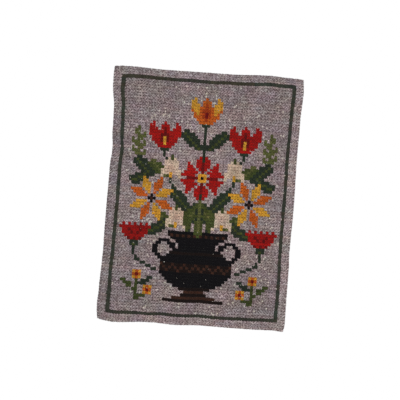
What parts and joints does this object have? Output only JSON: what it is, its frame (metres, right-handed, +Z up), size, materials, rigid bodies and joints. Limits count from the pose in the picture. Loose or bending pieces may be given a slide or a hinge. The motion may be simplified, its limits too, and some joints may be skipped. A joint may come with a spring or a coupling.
{
  "type": "embroidered wall hanging",
  "caption": "Rectangular cross-stitched wool wall hanging with a bordered flower design, its canvas margins turned to the back.",
  "frame": {"origin": "middle of the straight top edge, on the plane of the wall behind it", "axes": "+Z up along the hanging's height, +X to the right seen from the front, the worked face looks along -Y and the wall is at +Y"},
  "size_m": [0.3733, 0.0163, 0.5025],
  "materials": {
    "ground_wool": "matt heather grey wool in cross stitch",
    "border_wool": "matt bottle green wool",
    "flower_wool": "matt dyed wool in several colours",
    "bare_canvas": "unbleached cotton canvas"
  },
  "bodies": {
    "root": {"stitched_canvas": "ground_wool"}
  },
  "joints": []
}
